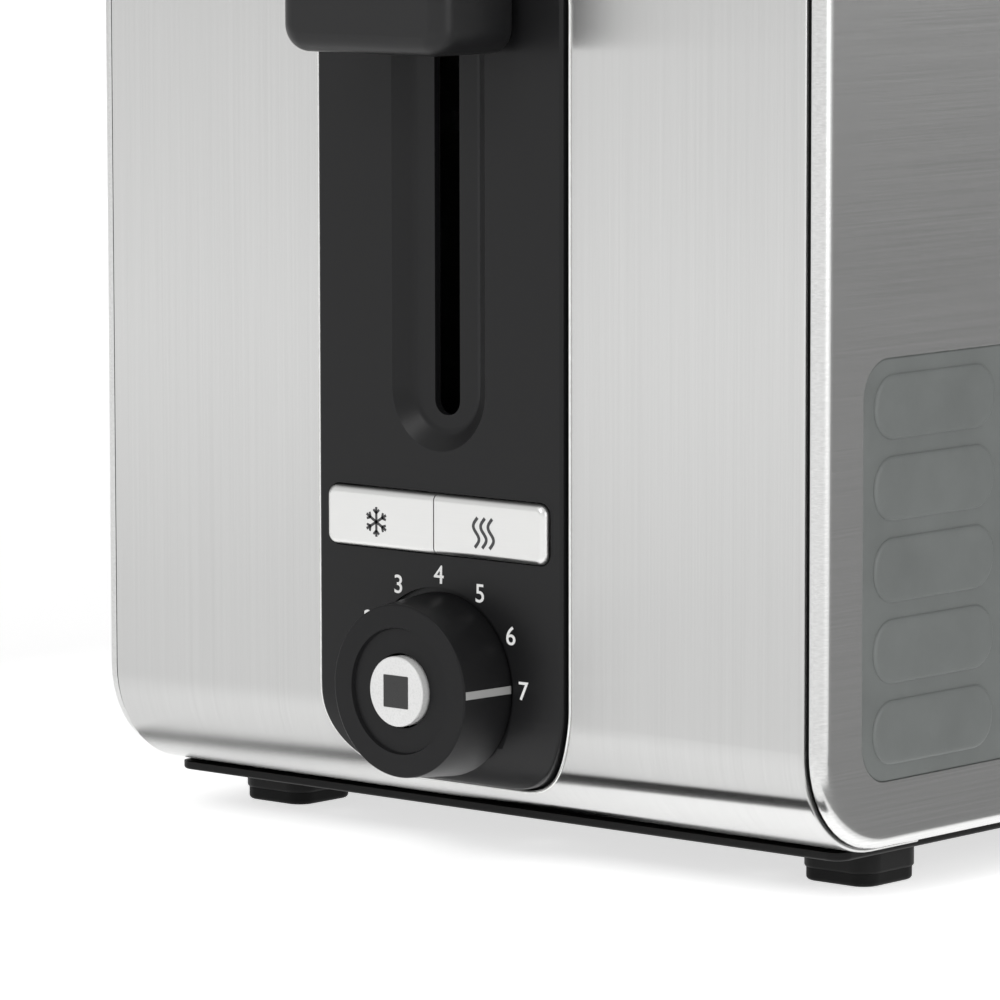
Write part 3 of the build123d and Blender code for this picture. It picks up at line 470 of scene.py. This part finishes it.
def dial_digits():
    """The numbers round the dial, printed on the panel: 7 to the right, 4 on top, 1 to the left."""
    centre = middle("browning_knob")
    face_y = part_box("control_panel")[0].y
    for number in range(1, DIGIT_COUNT + 1):
        angle = math.pi / 2 - math.radians(DIGIT_SPACING) * (number - (DIGIT_COUNT + 1) / 2)
        text = bpy.data.curves.new(f"dial_number_{number}", "FONT")
        text.body = str(number)
        text.align_x = "CENTER"
        text.align_y = "CENTER"
        text.size = DIGIT_HEIGHT / DIGIT_SHARE_OF_SIZE
        text.offset = DIGIT_WEIGHT
        text.extrude = PRINT_THICKNESS / 2
        text.materials.append(PRINT_WHITE)
        piece = bpy.data.objects.new(text.name, text)
        piece.rotation_euler = (math.pi / 2, 0, 0)
        piece.scale = (DIGIT_WIDTH_SHARE, 1, 1)
        across = DIGIT_RADIUS * math.cos(angle)
        up = DIGIT_RADIUS * math.sin(angle) - DIGIT_DROP
        piece.location = (centre.x + across, face_y - PRINT_THICKNESS / 2, centre.z + up)
        bpy.context.scene.collection.objects.link(piece)
        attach(piece, "casing")


def button_symbols():
    """A snowflake on the left button and three heat waves on the right one."""
    centre = middle("defrost_button") + Vector((FLAKE_SHIFT, 0, -SYMBOL_DROP))
    face_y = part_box("defrost_button")[0].y
    bm = bmesh.new()
    for arm in range(6):
        angle = math.pi / 2 + arm * math.pi / 3
        along = Vector((math.cos(angle), math.sin(angle)))
        hub = Vector((centre.x, centre.z))
        ribbon(bm, [hub, hub + along * FLAKE_RADIUS], FLAKE_STROKE, face_y)
        fork = hub + along * FLAKE_RADIUS * FLAKE_FORK
        for lean in (-math.pi / 4, math.pi / 4):
            twig = Vector((math.cos(angle + lean), math.sin(angle + lean)))
            ribbon(bm, [fork, fork + twig * FLAKE_RADIUS * FLAKE_TWIG], TWIG_STROKE, face_y)
    add_mesh("defrost_symbol", bm, PRINT_GREY, "defrost")

    centre = middle("reheat_button") + Vector((WAVE_SHIFT, 0, -SYMBOL_DROP))
    bm = bmesh.new()
    for wave in (-1, 0, 1):
        points = []
        for step in range(WAVE_STEPS + 1):
            share = step / WAVE_STEPS
            swing = -WAVE_SWING * math.sin(2 * math.pi * (WAVE_TURNS * share + WAVE_START))
            points.append((centre.x + wave * WAVE_PITCH + swing, centre.z + WAVE_HEIGHT * (0.5 - share)))
        ribbon(bm, points, WAVE_STROKE, face_y)
    add_mesh("reheat_symbol", bm, PRINT_GREY, "reheat")


def opening_bead():
    """The rolled edge of the casing round the control panel's opening, in a steel painted lighter than the
    casing's as a painted highlight.
    """
    low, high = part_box("front_cover")
    centre_z = low.z + (OPENING_LOW + OPENING_HIGH) / 2
    height_inside = OPENING_HIGH - OPENING_LOW
    outline = rounded_outline(
        2 * (OPENING_HALF + BEAD_RADIUS), height_inside + 2 * BEAD_RADIUS, OPENING_RADIUS + BEAD_RADIUS,
        BEAD_CORNER_STEPS,
    )
    path = []
    for i, (x, up) in enumerate(outline):
        following_x, following_up = outline[(i + 1) % len(outline)]
        pieces = max(1, round(math.hypot(following_x - x, following_up - up) / BEAD_STEP))
        for piece in range(pieces):
            share = piece / pieces
            here_x = x + (following_x - x) * share
            here_z = centre_z + up + (following_up - up) * share
            inset = CORNER_RADIUS - min(here_z - low.z, high.z - here_z, CORNER_RADIUS)
            depth = CORNER_RADIUS - math.sqrt(CORNER_RADIUS ** 2 - inset ** 2)
            path.append(Vector((here_x, low.y + depth - BEAD_PROUD, here_z)))
    bm = bmesh.new()
    tube(bm, path, BEAD_RADIUS, closed=True)
    add_mesh("panel_opening_bead", bm, MATERIALS["steel_bead_painted_highlight"], "casing")


def grip_mat(side_name, side):
    """A rubber mat with a rounded edge and rows of pillow-shaped pads; side is 1 on the right."""
    node = f"grip_mat_{side_name}"
    low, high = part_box(node)
    outer = high.x if side > 0 else low.x
    back = low.x if side > 0 else high.x
    face = outer - side * PAD_RISE
    centre = (low + high) / 2
    length, height = high.y - low.y, high.z - low.z

    def ring(width, tall, radius, at_y, at_z, x):
        return [(x, at_y + u, at_z + v) for u, v in rounded_outline(width, tall, radius)]

    bm = bmesh.new()
    steps = [(0.0, back)] + [(inset * MM, face + side * rise * MM) for inset, rise in MAT_EDGE]
    skin_rings(bm, [
        ring(length - 2 * inset, height - 2 * inset, MAT_RADIUS - inset, centre.y, centre.z, x)
        for inset, x in steps
    ])
    pad_length = (length - (PAD_COLUMNS + 1) * PAD_GAP) / PAD_COLUMNS
    for column in range(PAD_COLUMNS):
        at_y = centre.y + (column - (PAD_COLUMNS - 1) / 2) * (pad_length + PAD_GAP)
        for row in range(PAD_ROWS):
            at_z = centre.z + (row - (PAD_ROWS - 1) / 2) * PAD_PITCH
            skin_rings(bm, [
                ring(
                    pad_length - 2 * inset * MM, PAD_HEIGHT - 2 * inset * MM, PAD_RADIUS - inset * MM,
                    at_y, at_z, face + side * rise * MM,
                )
                for inset, rise in PAD_EDGE
            ])
    mat = add_mesh(f"{node}_moulded", bm, MATERIALS["mat_rubber"], "casing")
    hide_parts(node)


def mat_lip(side_name, side):
    """The pressed edge of the side shell round its mat, in a steel painted lighter than the shell's as a
    painted highlight; side is 1 on the right.
    """
    low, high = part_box(f"grip_mat_{side_name}")
    shell_low, shell_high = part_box(f"side_shell_{side_name}")
    centre = (low + high) / 2
    at_x = shell_high.x - LIP_RADIUS if side > 0 else shell_low.x + LIP_RADIUS
    outline = rounded_outline(high.y - low.y + 2 * LIP_RADIUS, high.z - low.z + 2 * LIP_RADIUS, MAT_RADIUS)
    bm = bmesh.new()
    tube(bm, [Vector((at_x, centre.y + u, centre.z + v)) for u, v in outline], LIP_RADIUS, closed=True)
    add_mesh(f"mat_lip_{side_name}", bm, MATERIALS["steel_bead_painted_highlight"], "casing")


def carriage_spring(side_name):
    """A wound spring with closed ends round its guide rod."""
    node = f"carriage_spring_{side_name}"
    low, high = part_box(node)
    centre = middle(f"guide_rod_{side_name}")
    radius = (high.x - low.x) / 2 - SPRING_WIRE_RADIUS
    bottom = low.z + SPRING_WIRE_RADIUS
    height = high.z - low.z - 2 * SPRING_WIRE_RADIUS
    closed_rise = SPRING_CLOSED_TURNS * SPRING_CLOSED_PITCH
    open_rise = height - 2 * closed_rise
    turns = SPRING_TURNS + 2 * SPRING_CLOSED_TURNS
    path = []
    for step in range(round(turns * SPRING_STEPS) + 1):
        turn = step / SPRING_STEPS
        started = min(turn, SPRING_CLOSED_TURNS) / SPRING_CLOSED_TURNS
        middle_share = min(max(turn - SPRING_CLOSED_TURNS, 0) / SPRING_TURNS, 1)
        ended = max(turn - SPRING_CLOSED_TURNS - SPRING_TURNS, 0) / SPRING_CLOSED_TURNS
        up = closed_rise * (started + ended) + open_rise * middle_share
        angle = 2 * math.pi * turn
        path.append(Vector((
            centre.x + radius * math.cos(angle), centre.y + radius * math.sin(angle), bottom + up,
        )))
    bm = bmesh.new()
    tube(bm, path, SPRING_WIRE_RADIUS, SPRING_SIDES)
    spring = add_mesh(f"{node}_wound", bm, MATERIALS["spring_steel"], "casing")
    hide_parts(node)
    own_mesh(spring)


# ---- stage ---------------------------------------------------------------------------------------

def view_direction(azimuth, elevation):
    """The direction from the toaster to something that looks at it from these angles."""
    a, e = math.radians(azimuth), math.radians(elevation)
    return Vector((math.sin(a) * math.cos(e), -math.cos(a) * math.cos(e), math.sin(e)))


def add_camera():
    """The camera at the photograph's viewing angle."""
    back = view_direction(CAMERA_AZIMUTH, CAMERA_ELEVATION)
    data = bpy.data.cameras.new("camera")
    data.lens = CAMERA_LENS
    data.clip_start = 0.01
    camera = bpy.data.objects.new("camera", data)
    camera.location = CAMERA_AIM + back * CAMERA_DISTANCE
    roll = Matrix.Rotation(math.radians(CAMERA_ROLL), 4, "Z")
    turn = (-back).to_track_quat("-Z", "Y").to_matrix().to_4x4() @ roll
    camera.rotation_euler = turn.to_euler()
    bpy.context.scene.collection.objects.link(camera)
    bpy.context.scene.camera = camera


def add_light(name, azimuth, elevation, distance, size, power):
    """A soft rectangular light that looks at the toaster from an angle like the camera's."""
    back = view_direction(azimuth, elevation)
    data = bpy.data.lights.new(name, "AREA")
    data.shape = "RECTANGLE"
    data.size, data.size_y = size
    data.energy = power
    light = bpy.data.objects.new(name, data)
    light.location = LIGHT_AIM + back * distance
    light.rotation_euler = (-back).to_track_quat("-Z", "Y").to_euler()
    bpy.context.scene.collection.objects.link(light)


def sky():
    """A soft sky that is bright round the control end and the right, and dim behind."""
    world = bpy.data.worlds.new("studio")
    bpy.context.scene.world = world
    world.use_nodes = True
    tree = world.node_tree
    background = tree.nodes["Background"]
    background.inputs["Color"].default_value = (1.0, 1.0, 1.0, 1.0)
    heading = tree.nodes.new("ShaderNodeTexCoord")
    facing = tree.nodes.new("ShaderNodeVectorMath")
    facing.operation = "DOT_PRODUCT"
    azimuth = math.radians(SKY_AZIMUTH)
    facing.inputs[1].default_value = (math.sin(azimuth), -math.cos(azimuth), 0.0)
    strength = tree.nodes.new("ShaderNodeMapRange")
    strength.inputs["From Min"].default_value = SKY_EDGE[0]
    strength.inputs["From Max"].default_value = SKY_EDGE[1]
    strength.inputs["To Min"].default_value = SKY_DIM
    strength.inputs["To Max"].default_value = SKY_BRIGHT
    tree.links.new(heading.outputs["Generated"], facing.inputs[0])
    tree.links.new(facing.outputs["Value"], strength.inputs["Value"])
    tree.links.new(strength.outputs["Result"], background.inputs["Strength"])


def reflections_only(thing):
    """Hides a thing from everything but mirrored rays."""
    thing.visible_camera = False
    thing.visible_shadow = False
    thing.visible_diffuse = False


def add_card(name, corners, grey):
    """A card of one grey flat on the table, which only reflections see."""
    bm = bmesh.new()
    bm.faces.new([bm.verts.new((x, y, CARD_HEIGHT)) for x, y in corners])
    mesh = bpy.data.meshes.new(name)
    bm.to_mesh(mesh)
    bm.free()
    mesh.materials.append(Shader(name, (grey,) * 3, 1.0).set(Specular_IOR_Level=0.0).material)
    card = bpy.data.objects.new(name, mesh)
    bpy.context.scene.collection.objects.link(card)
    reflections_only(card)


def add_under_light():
    """The level light under the toaster, facing up, which only reflections see."""
    data = bpy.data.lights.new("under_light", "AREA")
    data.shape = "RECTANGLE"
    data.size, data.size_y = UNDER_SIZE
    data.energy = UNDER_POWER
    light = bpy.data.objects.new("under_light", data)
    light.location = UNDER_PLACE
    light.rotation_euler = (math.pi, 0, math.radians(UNDER_TURN))
    bpy.context.scene.collection.objects.link(light)
    reflections_only(light)


def add_stage():
    """A pale floor that glows with painted light, more far off and most round the toaster where it fills in
    its shadow; a soft sky and the studio lights.
    """
    bpy.ops.mesh.primitive_plane_add(size=FLOOR_SIZE, location=(0, 0, FLOOR_HEIGHT))
    floor = bpy.context.object
    floor.name = "floor"
    shader = Shader("floor_paper", (0.80, 0.80, 0.80), 0.7)
    shader.vary_color(shader.noise((3.0, 3.0, 3.0)), 0.01)
    # Painted light: the floor glows, more far off and most round the toaster, where the glow fills in the
    # toaster's shadow.
    shader.set(Emission_Color=(1.0, 1.0, 1.0, 1.0))
    distance = shader.node("ShaderNodeVectorMath", operation="LENGTH")
    shader.link(shader.place, distance.inputs[0])
    painted_glow = shader.spread(distance.outputs["Value"], NEAR_PAINTED_GLOW, FAR_PAINTED_GLOW, *PAINTED_GLOW_REACH)
    painted_pool = shader.spread(distance.outputs["Value"], PAINTED_POOL_GLOW, 0.0, *PAINTED_POOL_REACH)
    painted_glow_strength = shader.node("ShaderNodeMath", operation="MAXIMUM")
    shader.link(painted_glow, painted_glow_strength.inputs[0])
    shader.link(painted_pool, painted_glow_strength.inputs[1])
    shader.link(painted_glow_strength.outputs["Value"], shader.surface.inputs["Emission Strength"])
    floor.data.materials.append(shader.material)
    for name, (corners, grey) in CARDS.items():
        add_card(name, corners, grey)
    add_under_light()
    sky()
    for name, settings in LIGHTS.items():
        add_light(name, *settings)
    bpy.context.scene.view_settings.view_transform = "Standard"


dress_nodes()
dial_digits()
button_symbols()
opening_bead()
for name, sign in (("left", -1), ("right", 1)):
    grip_mat(name, sign)
    mat_lip(name, sign)
    carriage_spring(name)
add_stage()
add_camera()
